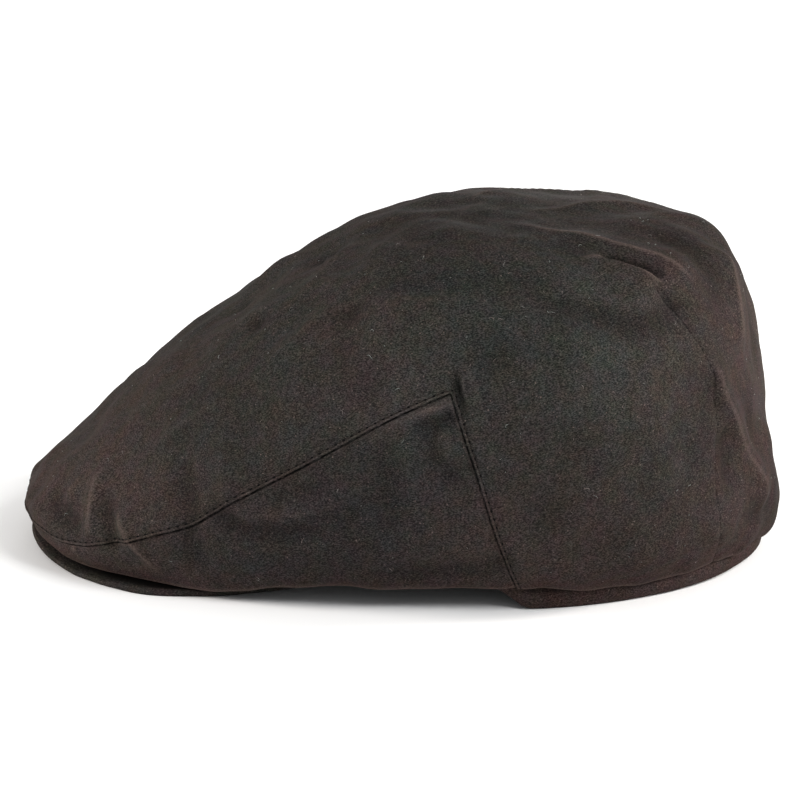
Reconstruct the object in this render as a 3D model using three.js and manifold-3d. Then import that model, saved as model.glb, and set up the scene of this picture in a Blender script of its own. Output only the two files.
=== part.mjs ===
// A waxed-cotton flat cap as it lies on a flat surface, in millimetres.
// +Z is up, the peak points to -Y and the wearer's left is +X. The origin is on the surface,
// under the middle of the cap's length. The cap is made as the real one is sewn: a top panel that
// runs down over the back, two side panels above the peak, the stiff peak, and a band round the head.
import * as THREE from "three";
import { NURBSCurve } from "three/addons/curves/NURBSCurve.js";
import { mergeVertices } from "three/addons/utils/BufferGeometryUtils.js";
import Module from "manifold-3d";

const wasm = await Module();
wasm.setup();

// Driving dimensions
const CLOTH = 2.0; // waxed cotton with its turned seams
const GAP = 0.3; // between pieces that are sewn together
const HEAD_WIDTH = 162; // inside the band, for a head of about 57 cm
const HEAD_LENGTH = 194;
const HEAD_CENTRE_Y = 32; // middle of the head opening, and the axis that directions are measured about
const CROWN_HEIGHT = 122;
const BAND = { thickness: 2.0, height: 13 };
const PEAK = { thickness: 2.4, cornerAngle: 60, hollowness: 1.5 };

// Directions are in degrees round the head's axis: 0 is the front, 90 the left, 180 the back, -90 the right.
const COLUMNS = 80; // steps round the crown
const ROWS = 21; // steps from the apex to the hem
const PEAK_COLUMNS = 40;
const PEAK_ROWS = 4;
const BAND_COLUMNS = 80;

const radians = THREE.MathUtils.degToRad;
const bell = (x, centre, width) => Math.exp(-(((x - centre) / width) ** 2));
const mix = THREE.MathUtils.lerp;

// Turns rows of values into objects that are read by the names of their columns.
const table = (columns, ...rows) =>
  rows.map((row) => Object.fromEntries(columns.map((name, i) => [name, row[i]])));

// The crown is pulled over these level rings, which are egg-shaped: an ellipse at fullness 2, squarer above it.
// front and back are measured from the head's axis, and the height changes from frontZ over sideZ to backZ.
const CROWN_RINGS = table(
  ["name", "halfWidth", "front", "back", "frontFullness", "backFullness", "frontZ", "sideZ", "backZ"],
  ["crest", 40, 32, 42, 2.0, 2.0, 121, 122, 121],
  ["shoulder", 72, 76, 87, 2.2, 2.2, 102, 113, 119],
  ["side", 92, 118, 96, 2.3, 2.3, 61, 84, 80],
  ["belly", 95, 159, 97, 2.3, 2.3, 31, 42, 42],
  ["bulge", 94, 174, 107, 2.3, 2.3, 15, 17, 17],
  ["hem", 85, 164, 101, 2.25, 2.0, 8.2, 8.6, 8],
);
// The hem comes down beside the tip, where the peak bends down to the surface, and at the back corners.
const HEM_DIPS = table(["angle", "width", "depth"], [30, 17, 5.2], [124, 20, 2.8]);

// How high the lower edges lie above the surface, at directions from the front to the back. The cap rests on
// the outer edge of the peak and on the back half of the band, which arches up in between, over the ears.
// lip is how far the peak shows beyond the hem, or stays inside it where it is below 0.
const PEAK_EDGES = table(
  ["angle", "lip", "outerLift", "innerLift"],
  [0, 1.2, 5, 11],
  [7, 1.2, 3.4, 10.9],
  [13, 1.4, 1.1, 10.7],
  [18, 2.2, 0, 10.4],
  [24, 4.2, 0, 10.1],
  [30, 4.2, 0, 9.7],
  [34, -2, 0, 9.4],
  [41, -12, 1.4, 8.9],
  [50, -11.5, 5, 8.4],
  [60, -7.6, 7.6, 8],
);
const BAND_EDGE = table(
  ["angle", "lift"],
  [0, 10],
  [60, 7],
  [85, 6],
  [92, 4],
  [101, 0],
  [115, 0],
  [150, 1],
  [180, 2],
);

// The main dents and folds. Each is a ridge (height above 0) or a valley (below 0) along a straight line
// on the crown between two places, each a direction in degrees and a share of the way from apex to hem.
const FOLDS = table(
  ["name", "fromAngle", "fromDepth", "toAngle", "toDepth", "height", "width"],
  ["top crease", 125, 0.1, 142, 0.27, 2.0, 6],
  ["pinch under the crease", 124, 0.22, 136, 0.24, -3.0, 8],
  ["hollow beside the dart", 115, 0.35, 131, 0.37, -2.4, 8],
  ["back corner fold", 142, 0.52, 150, 0.73, 2.2, 7],
  ["back valley", 176, 0.43, 163, 0.52, -2.4, 9],
  ["back swell", 165, 0.74, 165, 0.89, 2.0, 10],
  ["hollow under the corner", 71, 0.58, 80, 0.57, -1.8, 7],
  ["side panel dimple", 75, 0.61, 78, 0.71, -2.0, 8],
  ["end of the peak", 33, 0.6, 36, 0.9, -2.2, 8],
  ["hollow under the seam", 42, 0.79, 49, 0.81, -1.8, 7],
  ["swell over the front", -25, 0.58, 25, 0.58, 3.8, 26],
  ["swell beside the tip", 20, 0.75, 28, 0.9, 1.6, 8],
  ["right crease", -112, 0.12, -146, 0.2, 2.2, 8],
  ["right dart hollow", -118, 0.38, -132, 0.4, -2.2, 9],
  ["right back valley", -150, 0.5, -163, 0.72, -2.2, 9],
  ["right panel dimple", -70, 0.62, -77, 0.74, -2.0, 9],
  ["right end of the peak", -38, 0.64, -34, 0.9, -2.0, 9],
);

// The side panels are cut out along this line, given in the side view as places along Y and heights Z.
const TOP_SEAM = table(
  ["y", "z"],
  [-150, 12.5],
  [-128, 12],
  [-113, 13.2],
  [-98, 16.8],
  [-84, 22.6],
  [-72, 27.6],
  [-62, 35],
  [17, 78.5],
);
const BACK_SEAM = table(["y", "z"], [17, 78.5], [24.5, 55], [33, 27], [38, 12], [40.5, -2]);

const headBandOuter = {
  halfWidth: HEAD_WIDTH / 2 + BAND.thickness,
  front: HEAD_LENGTH / 2 + BAND.thickness,
  back: HEAD_LENGTH / 2 + BAND.thickness,
  frontFullness: 2,
  backFullness: 2,
};
const hem = CROWN_RINGS.at(-1);

// The distance from the head's axis to an egg-shaped ring, in the direction of angle.
function ringRadius(ring, angle) {
  const c = Math.cos(radians(angle));
  const s = Math.sin(radians(angle));
  const reach = c > 0 ? ring.front : ring.back;
  const fullness = c > 0 ? ring.frontFullness : ring.backFullness;
  return (Math.abs(s / ring.halfWidth) ** fullness + Math.abs(c / reach) ** fullness) ** (-1 / fullness);
}

function ringHeight(ring, angle) {
  const c = Math.cos(radians(angle));
  const level = mix(ring.sideZ, c > 0 ? ring.frontZ : ring.backZ, c * c);
  const dips = ring === hem ? HEM_DIPS : [];
  return dips.reduce((z, dip) => z - dip.depth * bell(Math.abs(angle), dip.angle, dip.width), level);
}

// A point at a distance from the head's axis, in the direction of angle, at height z.
function place(angle, radius, z) {
  const a = radians(angle);
  return new THREE.Vector3(radius * Math.sin(a), HEAD_CENTRE_Y - radius * Math.cos(a), z);
}

// The smooth crown: in each direction a clamped cubic spline from the apex over the rings to the hem.
const SPLINE_KNOTS = [0, 0, 0, 0, 1, 2, 3, 4, 4, 4, 4];
const profiles = new Map();
function smoothCrown(angle, depth) {
  if (!profiles.has(angle)) {
    const controls = [new THREE.Vector4(0, HEAD_CENTRE_Y, CROWN_HEIGHT, 1)];
    for (const ring of CROWN_RINGS) {
      const p = place(angle, ringRadius(ring, angle), ringHeight(ring, angle));
      controls.push(new THREE.Vector4(p.x, p.y, p.z, 1));
    }
    profiles.set(angle, new NURBSCurve(3, SPLINE_KNOTS, controls));
  }
  return profiles.get(angle).getPoint(depth);
}

// The direction that the smooth crown faces, from two short steps along it.
function crownNormal(angle, depth) {
  const step = 0.004;
  const near = Math.min(Math.max(depth, 2 * step), 1 - step);
  const down = smoothCrown(angle, near + step).sub(smoothCrown(angle, near - step));
  const round = smoothCrown(wrapped(angle + 1), near).sub(smoothCrown(wrapped(angle - 1), near));
  return down.cross(round).normalize();
}

function wrapped(angle) {
  return ((angle + 540) % 360) - 180;
}

// A column of a table with an angle in each row, between the two rows on either side of the asked angle.
function between(rows, column, angle) {
  const last = rows.findIndex((row) => row.angle >= Math.abs(angle));
  const [from, to] = [rows[Math.max(last, 1) - 1], rows[Math.max(last, 1)]];
  return THREE.MathUtils.mapLinear(Math.abs(angle), from.angle, to.angle, from[column], to[column]);
}

// How far the folds lift the cloth at a point of the smooth crown.
const foldLines = FOLDS.map((fold) => ({
  ...fold,
  line: new THREE.Line3(
    smoothCrown(fold.fromAngle, fold.fromDepth),
    smoothCrown(fold.toAngle, fold.toDepth),
  ),
}));
function foldLift(point) {
  const nearest = new THREE.Vector3();
  let lift = 0;
  for (const fold of foldLines) {
    fold.line.closestPointToPoint(point, true, nearest);
    lift += fold.height * bell(nearest.distanceTo(point), 0, fold.width);
  }
  return lift;
}

// A point of the crown's cloth, inset from its outer face.
function crownPoint(angle, depth, inset) {
  const smooth = smoothCrown(angle, depth);
  const normal = depth === 0 ? new THREE.Vector3(0, 0, 1) : crownNormal(angle, depth);
  return smooth.clone().addScaledVector(normal, foldLift(smooth) - inset);
}

// A closed mesh from points and triangles.
function meshGeometry(points, triangles) {
  const geometry = new THREE.BufferGeometry().setFromPoints(points);
  geometry.setIndex(triangles.flat());
  return geometry;
}

// The hollow crown: an outer and an inner grid that share their columns, each closed by its own apex
// and joined to the other along the hem.
function crownShell() {
  const points = [];
  const triangles = [];
  const index = (layer, column, row) =>
    layer * (COLUMNS * ROWS + 1) + (row === 0 ? 0 : 1 + (row - 1) * COLUMNS + (column % COLUMNS));
  for (const inset of [0, CLOTH]) {
    points.push(crownPoint(0, 0, inset));
    for (let row = 1; row <= ROWS; row++)
      for (let column = 0; column < COLUMNS; column++)
        points.push(crownPoint(wrapped((column * 360) / COLUMNS), row / ROWS, inset));
  }
  for (let column = 0; column < COLUMNS; column++) {
    for (const layer of [0, 1])
      for (let row = 0; row < ROWS; row++) {
        const [a, b] = [index(layer, column, row), index(layer, column + 1, row)];
        const [c, d] = [index(layer, column, row + 1), index(layer, column + 1, row + 1)];
        const faces = row === 0 ? [[a, c, d]] : [[a, c, d], [a, d, b]];
        triangles.push(...faces.map((f) => (layer === 0 ? f : f.reverse())));
      }
    const [outer, outerNext] = [index(0, column, ROWS), index(0, column + 1, ROWS)];
    const [inner, innerNext] = [index(1, column, ROWS), index(1, column + 1, ROWS)];
    triangles.push([outer, inner, innerNext], [outer, innerNext, outerNext]);
  }
  return meshGeometry(points, triangles);
}

// A strip of cross-sections, each a closed loop of points, joined one to the next.
// A strip that isn't itself a closed ring gets a flat end at each side.
function sweptLoops(loops, closed) {
  const size = loops[0].length;
  const count = loops.length;
  const triangles = [];
  for (let i = 0; i < (closed ? count : count - 1); i++)
    for (let k = 0; k < size; k++) {
      const [a, b] = [i * size + k, i * size + ((k + 1) % size)];
      const next = ((i + 1) % count) * size;
      const [c, d] = [next + k, next + ((k + 1) % size)];
      triangles.push([a, b, d], [a, d, c]);
    }
  if (!closed) {
    // An end loop runs along the top and back along the bottom, so its two rows pair up as a ladder.
    const half = size / 2;
    const last = (count - 1) * size;
    for (let k = 0; k < half - 1; k++) {
      const [a, b, c, d] = [k, k + 1, size - 2 - k, size - 1 - k];
      triangles.push([a, c, b], [a, d, c]);
      triangles.push([last + a, last + b, last + c], [last + a, last + c, last + d]);
    }
  }
  return meshGeometry(loops.flat(), triangles);
}

// The peak: a stiff crescent, arched from side to side, that bends down to the surface beside its tip.
function peakGeometry() {
  const loops = [];
  for (let i = 0; i <= PEAK_COLUMNS; i++) {
    const angle = mix(-PEAK.cornerAngle, PEAK.cornerAngle, i / PEAK_COLUMNS);
    const inner = ringRadius(headBandOuter, angle) + GAP;
    const outer = ringRadius(hem, angle) + between(PEAK_EDGES, "lip", angle);
    const innerLift = between(PEAK_EDGES, "innerLift", angle);
    const outerLift = between(PEAK_EDGES, "outerLift", angle);
    const top = [];
    const bottom = [];
    for (let k = 0; k <= PEAK_ROWS; k++) {
      const share = k / PEAK_ROWS;
      const z = mix(outerLift, innerLift, (1 - share) ** PEAK.hollowness);
      const radius = mix(inner, outer, share);
      top.push(place(angle, radius, z + PEAK.thickness));
      bottom.unshift(place(angle, radius, z));
    }
    loops.push([...top, ...bottom]);
  }
  return sweptLoops(loops, false);
}

// The band round the head
function bandGeometry() {
  const loops = [];
  for (let i = 0; i < BAND_COLUMNS; i++) {
    const angle = wrapped((i * 360) / BAND_COLUMNS);
    const bottom = between(BAND_EDGE, "lift", angle);
    const outer = ringRadius(headBandOuter, angle);
    const inner = outer - BAND.thickness;
    const top = bottom + BAND.height;
    loops.push([
      place(angle, inner, top),
      place(angle, outer, top),
      place(angle, outer, bottom),
      place(angle, inner, bottom),
    ]);
  }
  return sweptLoops(loops, true);
}

// The two seams as one line in the side view, moved outwards by clearance on the side away from the panel.
function seamLine(clearance) {
  const points = [...TOP_SEAM, ...BACK_SEAM.slice(1)].map((p) => new THREE.Vector2(p.y, p.z));
  const outwards = (from, to) => {
    const along = to.clone().sub(from).normalize();
    return new THREE.Vector2(-along.y, along.x);
  };
  return points.map((point, i) => {
    const before = outwards(points[Math.max(i, 1) - 1], points[Math.max(i, 1)]);
    const after = outwards(points[Math.min(i, points.length - 2)], points[Math.min(i + 1, points.length - 1)]);
    const corner = before.clone().add(after).divideScalar(1 + before.dot(after));
    return point.clone().addScaledVector(corner, clearance);
  });
}

// Everything below the top seam and in front of the back seam, as a block from fromX to toX.
function seamBlock(fromX, toX, clearance) {
  const seams = seamLine(clearance);
  const floor = -20;
  const outline = new THREE.Shape([
    new THREE.Vector2(seams[0].x, floor),
    ...seams,
    new THREE.Vector2(seams.at(-1).x, floor),
  ]);
  const block = new THREE.ExtrudeGeometry(outline, { depth: toX - fromX, bevelEnabled: false });
  const sideView = new THREE.Matrix4().makeBasis(
    new THREE.Vector3(0, 1, 0),
    new THREE.Vector3(0, 0, 1),
    new THREE.Vector3(1, 0, 0),
  );
  return block.applyMatrix4(sideView).translate(fromX, 0, 0);
}

// Between three.js geometries and solids that can be joined and cut
function solidOf(geometry) {
  const bare = geometry.clone();
  bare.deleteAttribute("normal");
  bare.deleteAttribute("uv");
  const merged = mergeVertices(bare, 1e-4);
  return new wasm.Manifold(
    new wasm.Mesh({
      numProp: 3,
      vertProperties: new Float32Array(merged.getAttribute("position").array),
      triVerts: new Uint32Array(merged.index.array),
    }),
  );
}

function geometryOf(solid) {
  const mesh = solid.getMesh();
  const geometry = new THREE.BufferGeometry();
  geometry.setAttribute("position", new THREE.BufferAttribute(new Float32Array(mesh.vertProperties), 3));
  geometry.setIndex(new THREE.BufferAttribute(new Uint32Array(mesh.triVerts), 1));
  geometry.computeVertexNormals();
  return geometry;
}

// The panels, cut from the crown
const HALF_SPACE = 150; // further to the side than the cap reaches
const crown = solidOf(crownShell());
const topPanel = crown.subtract(solidOf(seamBlock(-HALF_SPACE, HALF_SPACE, GAP)));
const leftPanel = crown.intersect(solidOf(seamBlock(GAP / 2, HALF_SPACE, 0)));
const rightPanel = crown.intersect(solidOf(seamBlock(-HALF_SPACE, -GAP / 2, 0)));

// Finishes
const waxedCotton = new THREE.MeshStandardMaterial({ color: 0x3b3430, roughness: 0.78, metalness: 0 });
const sidePanelCotton = new THREE.MeshStandardMaterial({ color: 0x36312e, roughness: 0.8, metalness: 0 });
const peakCotton = new THREE.MeshStandardMaterial({ color: 0x38312c, roughness: 0.8, metalness: 0 });
const bandCotton = new THREE.MeshStandardMaterial({ color: 0x3a312c, roughness: 0.85, metalness: 0 });

const cap = new THREE.Group();
function addPiece(name, geometry, material) {
  const piece = new THREE.Mesh(geometry, material);
  piece.name = name;
  cap.add(piece);
}
addPiece("top_panel", geometryOf(topPanel), waxedCotton);
addPiece("side_panel_left", geometryOf(leftPanel), sidePanelCotton);
addPiece("side_panel_right", geometryOf(rightPanel), sidePanelCotton);
addPiece("peak", peakGeometry(), peakCotton);
addPiece("head_band", bandGeometry(), bandCotton);

export default cap;
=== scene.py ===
# %% [markdown]
# # A waxed-cotton flat cap
#
# The CAD model already holds the cap's real sizes: a top panel that runs down over the back, two side
# panels, a stiff peak and a band round the head. This lesson gives it its looks. Each CAD piece is
# replaced by a finer mesh of the same form with the creases, seams and rolled edges of real cloth.
#
# The CAD model's frame is used throughout: +Z is up, the peak points to -Y, the wearer's left is +X, and
# the origin is on the surface that the cap rests on. Shapes are worked out in millimetres and put into
# the meshes in metres.

import bpy
import numpy as np
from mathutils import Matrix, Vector


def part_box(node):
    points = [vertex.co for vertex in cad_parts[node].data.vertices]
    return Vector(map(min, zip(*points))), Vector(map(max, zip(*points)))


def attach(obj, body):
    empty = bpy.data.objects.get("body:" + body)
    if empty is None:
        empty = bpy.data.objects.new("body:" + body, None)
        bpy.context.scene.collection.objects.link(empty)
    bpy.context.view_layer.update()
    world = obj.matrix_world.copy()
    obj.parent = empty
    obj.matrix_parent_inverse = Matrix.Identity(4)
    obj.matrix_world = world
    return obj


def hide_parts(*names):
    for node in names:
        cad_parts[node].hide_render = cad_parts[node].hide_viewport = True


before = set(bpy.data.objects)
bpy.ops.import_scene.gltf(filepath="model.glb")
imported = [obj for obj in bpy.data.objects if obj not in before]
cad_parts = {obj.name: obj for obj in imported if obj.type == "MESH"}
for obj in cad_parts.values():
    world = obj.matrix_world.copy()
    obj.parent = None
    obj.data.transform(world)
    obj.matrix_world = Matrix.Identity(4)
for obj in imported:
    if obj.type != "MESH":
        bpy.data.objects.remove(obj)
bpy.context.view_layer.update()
print("CAD nodes:", ", ".join(sorted(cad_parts)))

MM = 0.001
band_box = np.array([list(corner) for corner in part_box("head_band")]) / MM
HEAD_AXIS_Y = band_box[:, 1].mean()
BAND_WIDTH, BAND_LENGTH = (band_box[1] - band_box[0])[:2]
print(f"head axis at y {HEAD_AXIS_Y:.1f} mm, band {BAND_WIDTH:.0f} x {BAND_LENGTH:.0f} mm")

# %% [markdown]
# ## The crown's form
#
# On the real cap the crown is cloth pulled over a head-shaped block while damp. A block could be
# sculpted by hand or blended from primitive shapes, but then nobody could read its sizes. Here the form
# is a handful of level, egg-shaped rings, and in each direction round the head's axis a cubic spline
# runs from the top over those rings down to the hem. Directions are in degrees (0 is the front, 90 the
# wearer's left, 180 the back) and depth is the share of the way from the top, 0, to the hem, 1.

# %% The rings that the crown is pulled over
CROWN_TOP = 122.0
CROWN_RINGS = [  # half width, front, back, front fullness, back fullness, front z, side z, back z
    (40, 32, 42, 2.0, 2.0, 121, 122, 121),  # crest
    (72, 76, 87, 2.2, 2.2, 102, 113, 119),  # shoulder
    (92, 118, 96, 2.3, 2.3, 61, 84, 80),  # side
    (95, 159, 97, 2.3, 2.3, 31, 42, 42),  # belly
    (94, 174, 107, 2.3, 2.3, 15, 17, 17),  # bulge
    (85, 164, 101, 2.25, 2.0, 8.2, 8.6, 8),  # hem
]
BULGE, HEM = CROWN_RINGS[-2:]
HEM_DIPS = [(30, 17, 5.2), (124, 20, 2.8)]  # angle, width, depth: beside the tip and at the back corners


def bell(x, centre, width):
    """A bell curve: exp(-((x - centre) / width)^2)."""
    return np.exp(-(((x - centre) / width) ** 2))


def wrapped(angle):
    """The same direction between -180 and 180 degrees."""
    return (angle + 180) % 360 - 180


def ring_radius(ring, angle):
    """Distance r from the head's axis to a ring: |r sin / width|^n + |r cos / reach|^n = 1."""
    half_width, front, back, front_fullness, back_fullness = ring[:5]
    cosine, sine = np.cos(np.radians(angle)), np.sin(np.radians(angle))
    reach = np.where(cosine > 0, front, back)
    power = np.where(cosine > 0, front_fullness, back_fullness)
    return (np.abs(sine / half_width) ** power + np.abs(cosine / reach) ** power) ** (-1 / power)


def ring_height(ring, angle):
    """The side's height, changing to the end's with cos squared; the hem also dips by bell curves."""
    front_z, side_z, back_z = ring[5:]
    cosine = np.cos(np.radians(angle))
    height = side_z + (np.where(cosine > 0, front_z, back_z) - side_z) * cosine**2
    for centre, width, depth in HEM_DIPS if ring is HEM else []:
        height = height - depth * bell(np.abs(wrapped(angle)), centre, width)
    return height


print("hem half width:", ring_radius(HEM, 90).round(1), "mm")

# %% The spline over the rings
SMALL_STEP, SMALL_TURN = 0.003, 0.5  # of depth and in degrees, to measure slopes with


def place(angle, radius, height):
    """The point at a distance from the head's axis, in a direction, at a height."""
    a = np.radians(angle)
    x, y, z = np.broadcast_arrays(radius * np.sin(a), HEAD_AXIS_Y - radius * np.cos(a), height)
    return np.stack([x, y, z], axis=-1)


def spline_weights(depth):
    """Weights of a clamped cubic B-spline's 7 control points, by the Cox-de Boor recursion."""
    knots = np.array([0, 0, 0, 0, 1, 2, 3, 4, 4, 4, 4]) / 4
    t = np.clip(depth, 0, 1 - 1e-9)[..., None]
    weights = ((knots[:-1] <= t) & (t < knots[1:])).astype(float)
    for degree in (1, 2, 3):
        count = len(knots) - 1 - degree
        span = knots[degree:] - knots[: len(knots) - degree]
        share = (t - knots[: count + 1]) / np.where(span > 0, span, 1)
        weights = share[..., :count] * weights[..., :count] + (1 - share[..., 1:]) * weights[..., 1:]
    return weights


def smooth_crown(angle, depth):
    """A point of the crown before folds: the spline's weighted mean of the top and the six rings."""
    angle, depth = np.broadcast_arrays(np.asarray(angle, float), np.asarray(depth, float))
    weights = spline_weights(depth)
    radius, height = (sum(weights[..., i + 1] * measure(ring, angle) for i, ring in enumerate(CROWN_RINGS))
                      for measure in (ring_radius, ring_height))
    return place(angle, radius, height + weights[..., 0] * CROWN_TOP)


def unit(vectors):
    """The same directions with length 1."""
    return vectors / np.linalg.norm(vectors, axis=-1, keepdims=True)


def crown_slopes(angle, depth):
    """How the smooth crown moves per unit of depth and per degree, by small steps to both sides."""
    near = np.clip(depth, 2 * SMALL_STEP, 1 - 2 * SMALL_STEP)
    down = smooth_crown(angle, near + SMALL_STEP) - smooth_crown(angle, near - SMALL_STEP)
    around = smooth_crown(angle + SMALL_TURN, near) - smooth_crown(angle - SMALL_TURN, near)
    return down / (2 * SMALL_STEP), around / (2 * SMALL_TURN)


def crown_normal(angle, depth):
    """Unit vector out of the smooth crown: down the cloth crossed with round it."""
    return unit(np.cross(*crown_slopes(angle, depth)))


print("crown half width:", smooth_crown(90, np.linspace(0, 1, 200))[:, 0].max().round(1), "mm")

# %% [markdown]
# ## Where the seams run
#
# Two seams show on each side: a long slanting one above the side panel and a short upright one behind
# it, and they meet in a sharp corner. They could be cut with a boolean, as in the CAD model, but a cut
# leaves ragged faces that can't be rounded. It is better to give the seam as a table of directions and
# depths and let the rows of each panel's grid end exactly on it.

# %% The seam tables, and a smooth curve through a table's rows
# angle, and depth in thousandths: the slanting seam from the tip to the corner, then the upright one
TOP_SEAM = np.array([
    (0, 915), (5, 917), (9.5, 920), (12.5, 924), (16, 934), (20, 928), (24, 904), (28, 878), (32, 846),
    (36.5, 812), (40.5, 762), (46, 708), (54, 650), (61.5, 602), (70, 558), (76, 533), (80.2, 517),
]) / (1, 1000)
BACK_SEAM = np.array([
    (80.2, 517), (82.3, 585), (85, 669), (87.5, 751), (90.3, 848), (93, 938), (95, 1000),
]) / (1, 1000)
CORNER_ANGLE, BACK_SEAM_END = BACK_SEAM[0, 0], BACK_SEAM[-1, 0]


def through(table, x):
    """A smooth curve through a table's rows: cubic Hermite pieces with central slopes."""
    xs, ys = table[:, 0], table[:, 1]
    slopes = np.gradient(ys, xs)
    i = np.clip(np.searchsorted(xs, x) - 1, 0, len(xs) - 2)
    width = xs[i + 1] - xs[i]
    u = np.clip((x - xs[i]) / width, 0, 1)
    start = (1 + 2 * u) * ys[i] + u * width * slopes[i]
    end = (3 - 2 * u) * ys[i + 1] - (1 - u) * width * slopes[i + 1]
    return (1 - u) ** 2 * start + u**2 * end


def seam_depth(angle):
    """Depth of the panels' border in a direction: the top seam, then the back seam, then the hem."""
    side = np.abs(wrapped(np.asarray(angle, float)))
    behind = np.where(side < BACK_SEAM_END, through(BACK_SEAM, side), 1.0)
    return np.where(side < CORNER_ANGLE, through(TOP_SEAM, side), behind)


def travelled(line):
    """How far along a line of points each one lies, from 0 at the first."""
    return np.append(0, np.linalg.norm(np.diff(line, axis=0), axis=1).cumsum())


along_top, along_back = np.linspace(0, CORNER_ANGLE, 100), np.linspace(CORNER_ANGLE, BACK_SEAM_END, 40)
seam_angles = np.append(along_top, along_back[1:])
left_seam = smooth_crown(seam_angles, seam_depth(seam_angles))
print(f"each side's seams are {travelled(left_seam)[-1]:.0f} mm long")

# %% [markdown]
# ## Folds, dents and crumples
#
# Waxed cotton is stiff for its weight, so it doesn't ripple like a flag. It keeps the long creases and
# tucks that it got in a pocket, and between them the cloth is almost flat, with shallow dents. A cloth
# simulation would give folds in places of its own choosing. To put each fold where the real cap has it,
# a fold is a route over the crown with a height, and a width on either side of it: a narrow side makes
# a sharp drop and a wide one a gentle slope. Seeded waves add the shallow dents between the folds.

# %% The folds of the flat top and the rear corner, each with its route over the crown
# Height, and width to the left and right of the route, in mm; sharp (1) or soft (2); wear and painted
# highlight of the crest; then the route: angle, depth in thousandths, and strength, which is 0 at the
# route's ends and 1 elsewhere unless it is given. On the cap's left side, left is up where the route runs
# backwards.
FOLDS = {
    "long crease": (1.5, 7, 2.4, 1, 0.6, [
        (108, 45), (118, 62, 0.5), (127, 80, 0.9), (132.5, 105), (136, 135), (138.8, 170), (141.2, 210),
        (143.6, 260, 0.8), (145.5, 310)]),
    "pinched ridge": (2, 1.6, 5, 1, 0.8, [
        (119, 180), (124, 180, 0.7), (129, 192), (131.5, 225), (133.5, 262), (135.5, 285)]),
    "pocket": (-3.3, 2.1, 2, 2, 0, [
        (127, 172), (130.5, 188, 0.9), (133.5, 220), (136, 252, 0.9), (138, 275)]),
    "slope under the crease": (-0.8, 4, 9, 2, 0, [(108, 120), (120, 130, 0.8), (128, 160), (134, 240)]),
    "fold by the dart tip": (-2, 3, 7, 2, 0, [
        (96, 290), (102.5, 302, 0.6), (113, 335, 0.9), (123, 370), (131.5, 357), (135.5, 333, 0.8),
        (137, 315)]),
    "dart tip": (-0.9, 1, 1, 1, 0, [(133, 285), (133.5, 300), (134.3, 330, 0.8), (135, 360)]),
    "far crease": (1.3, 1.8, 6, 1, 0.45, [
        (-60, 30), (-77, 50, 0.7), (-100, 85), (-118, 125), (-135, 165), (-146, 190, 0.7), (-156, 220)]),
    "near crease": (1.3, 5, 1.8, 1, 0.3, [
        (-178, 30), (-170, 50, 0.7), (-165, 85), (-163, 122), (-165, 152, 0.9), (-170, 185)]),
    "top ripple": (0.6, 3.5, 6, 2, 0.1, [(60, 40), (20, 30), (-60, 20), (-110, 50)]),
    "upper band": (0.9, 5, 5, 2, 0, [(33, 155), (40, 150, 0.7), (55, 142), (71, 140), (82, 140)]),
    "upper hollow": (-0.8, 6, 6, 2, 0, [(50, 235), (61, 235), (79, 238), (97, 240), (108, 235)]),
    "middle band": (1.3, 4, 4, 2, 0, [(57, 305), (62, 307), (70, 312), (78, 315), (87, 320)]),
    "hollow inside the rear corner": (-1.1, 6, 6, 2, 0, [
        (161, 140), (159, 200), (157.5, 268), (153.5, 323), (147, 372, 0.8), (143, 400)]),
    "rear corner": (1.9, 4, 4, 2, 0.5, [(168, 250), (166.5, 307), (160, 367), (155.5, 440), (153, 500)]),
    "back edge": (2.2, 14, 14, 2, 0, [(-176, 380), (-178, 460), (178, 540), (176, 640)]),
    "back top corner": (0.6, 12, 12, 2, 0, [(-160, 130), (-165, 200), (-170, 260), (-176, 330)]),
}
print(len(FOLDS), "folds")

# %% The folds of the back
FOLDS |= {
    "back valley": (-1.9, 6, 7, 2, 0, [(-178, 380), (176, 435), (168, 500), (161, 620)]),
    "back corner fold": (2.2, 5, 3.4, 2, 0.35, [
        (140, 480), (141.5, 525), (143, 585), (145.5, 635), (148, 680), (150.5, 730)]),
    "dent before the corner fold": (-1.6, 4, 4, 2, 0, [(141, 640), (142, 672), (142.5, 753), (143, 800)]),
    "dent behind the corner fold": (-1.2, 6, 5, 2, 0, [(150, 560), (153, 640), (157, 710), (163, 760)]),
    "back swell": (1.8, 10, 9, 2, 0, [(167, 680), (164, 750), (164, 840), (167, 930)]),
    "low back ridge": (1.5, 5, 5, 2, 0.3, [(148, 690), (150.5, 730), (154, 787), (155.5, 840), (156, 880)]),
    "low back valley": (-1.4, 4, 4, 2, 0, [(145, 890), (151, 872), (157, 865), (163, 860)]),
    "soft diagonal": (1.5, 6, 6, 2, 0, [
        (98, 965), (106, 953, 0.8), (116, 910), (127, 883), (136.5, 848, 0.8), (142, 830)]),
    "upper diagonal": (1.2, 6, 6, 2, 0, [(112, 840), (120, 815), (131, 780), (138, 765)]),
}
print(len(FOLDS), "folds")

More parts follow.
